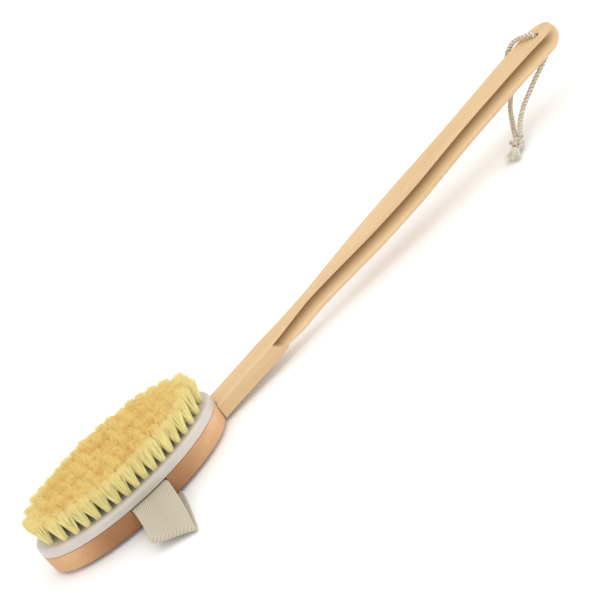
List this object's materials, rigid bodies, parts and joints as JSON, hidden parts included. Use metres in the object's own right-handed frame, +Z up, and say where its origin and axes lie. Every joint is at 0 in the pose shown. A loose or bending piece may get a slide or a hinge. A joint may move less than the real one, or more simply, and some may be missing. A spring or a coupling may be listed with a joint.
{
  "type": "body dry brush",
  "caption": "Long-handled body dry brush: oval beech head, natural bristle tufts in a white plate, cotton hand strap, curved pull-off wooden handle and hanging cord.",
  "frame": {"origin": "on the ground under the middle of the oval head, on the underside of the hand strap, with the brush lying on its back", "axes": "+X along the handle away from the head, +Z up towards the bristle tips, -Y the side where the strap's slack lies out"},
  "size_m": [0.41, 0.1124, 0.041],
  "materials": {
    "beech": "sanded, satin",
    "white_plastic": "smooth, semi-gloss",
    "boar_bristle": "natural fibre, cream tips and darker roots",
    "cotton_webbing": "coarse woven cotton",
    "cotton_twine": "twisted strands with brown flecks",
    "steel_wire": "plain wire"
  },
  "bodies": {
    "head": {"head_block": "beech", "bristle_plate": "white_plastic", "bristle_row_01": "boar_bristle", "bristle_row_02": "boar_bristle", "bristle_row_03": "boar_bristle", "bristle_row_04": "boar_bristle", "bristle_row_05": "boar_bristle", "bristle_row_06": "boar_bristle", "bristle_row_07": "boar_bristle", "bristle_row_08": "boar_bristle", "bristle_row_09": "boar_bristle", "bristle_row_10": "boar_bristle", "bristle_row_11": "boar_bristle", "bristle_row_12": "boar_bristle", "bristle_row_13": "boar_bristle", "bristle_row_14": "boar_bristle", "bristle_row_15": "boar_bristle", "bristle_row_16": "boar_bristle", "bristle_row_17": "boar_bristle", "bristle_row_18": "boar_bristle", "plate_nail_1": "steel_wire", "plate_nail_2": "steel_wire", "plate_nail_3": "steel_wire", "plate_nail_4": "steel_wire", "plate_nail_5": "steel_wire", "plate_nail_6": "steel_wire", "strap_staple_near_1": "steel_wire", "strap_staple_near_2": "steel_wire", "strap_staple_far_1": "steel_wire", "strap_staple_far_2": "steel_wire", "hand_strap": "cotton_webbing"},
    "handle": {"handle": "beech", "hanging_cord": "cotton_twine", "cord_knot": "cotton_twine", "cord_tassel": "cotton_twine"}
  },
  "joints": [
    {"name": "handle_pull", "type": "slide", "parent": "head", "child": "handle", "axis": [1, 0, 0], "range_m": [0, 0.055]}
  ]
}
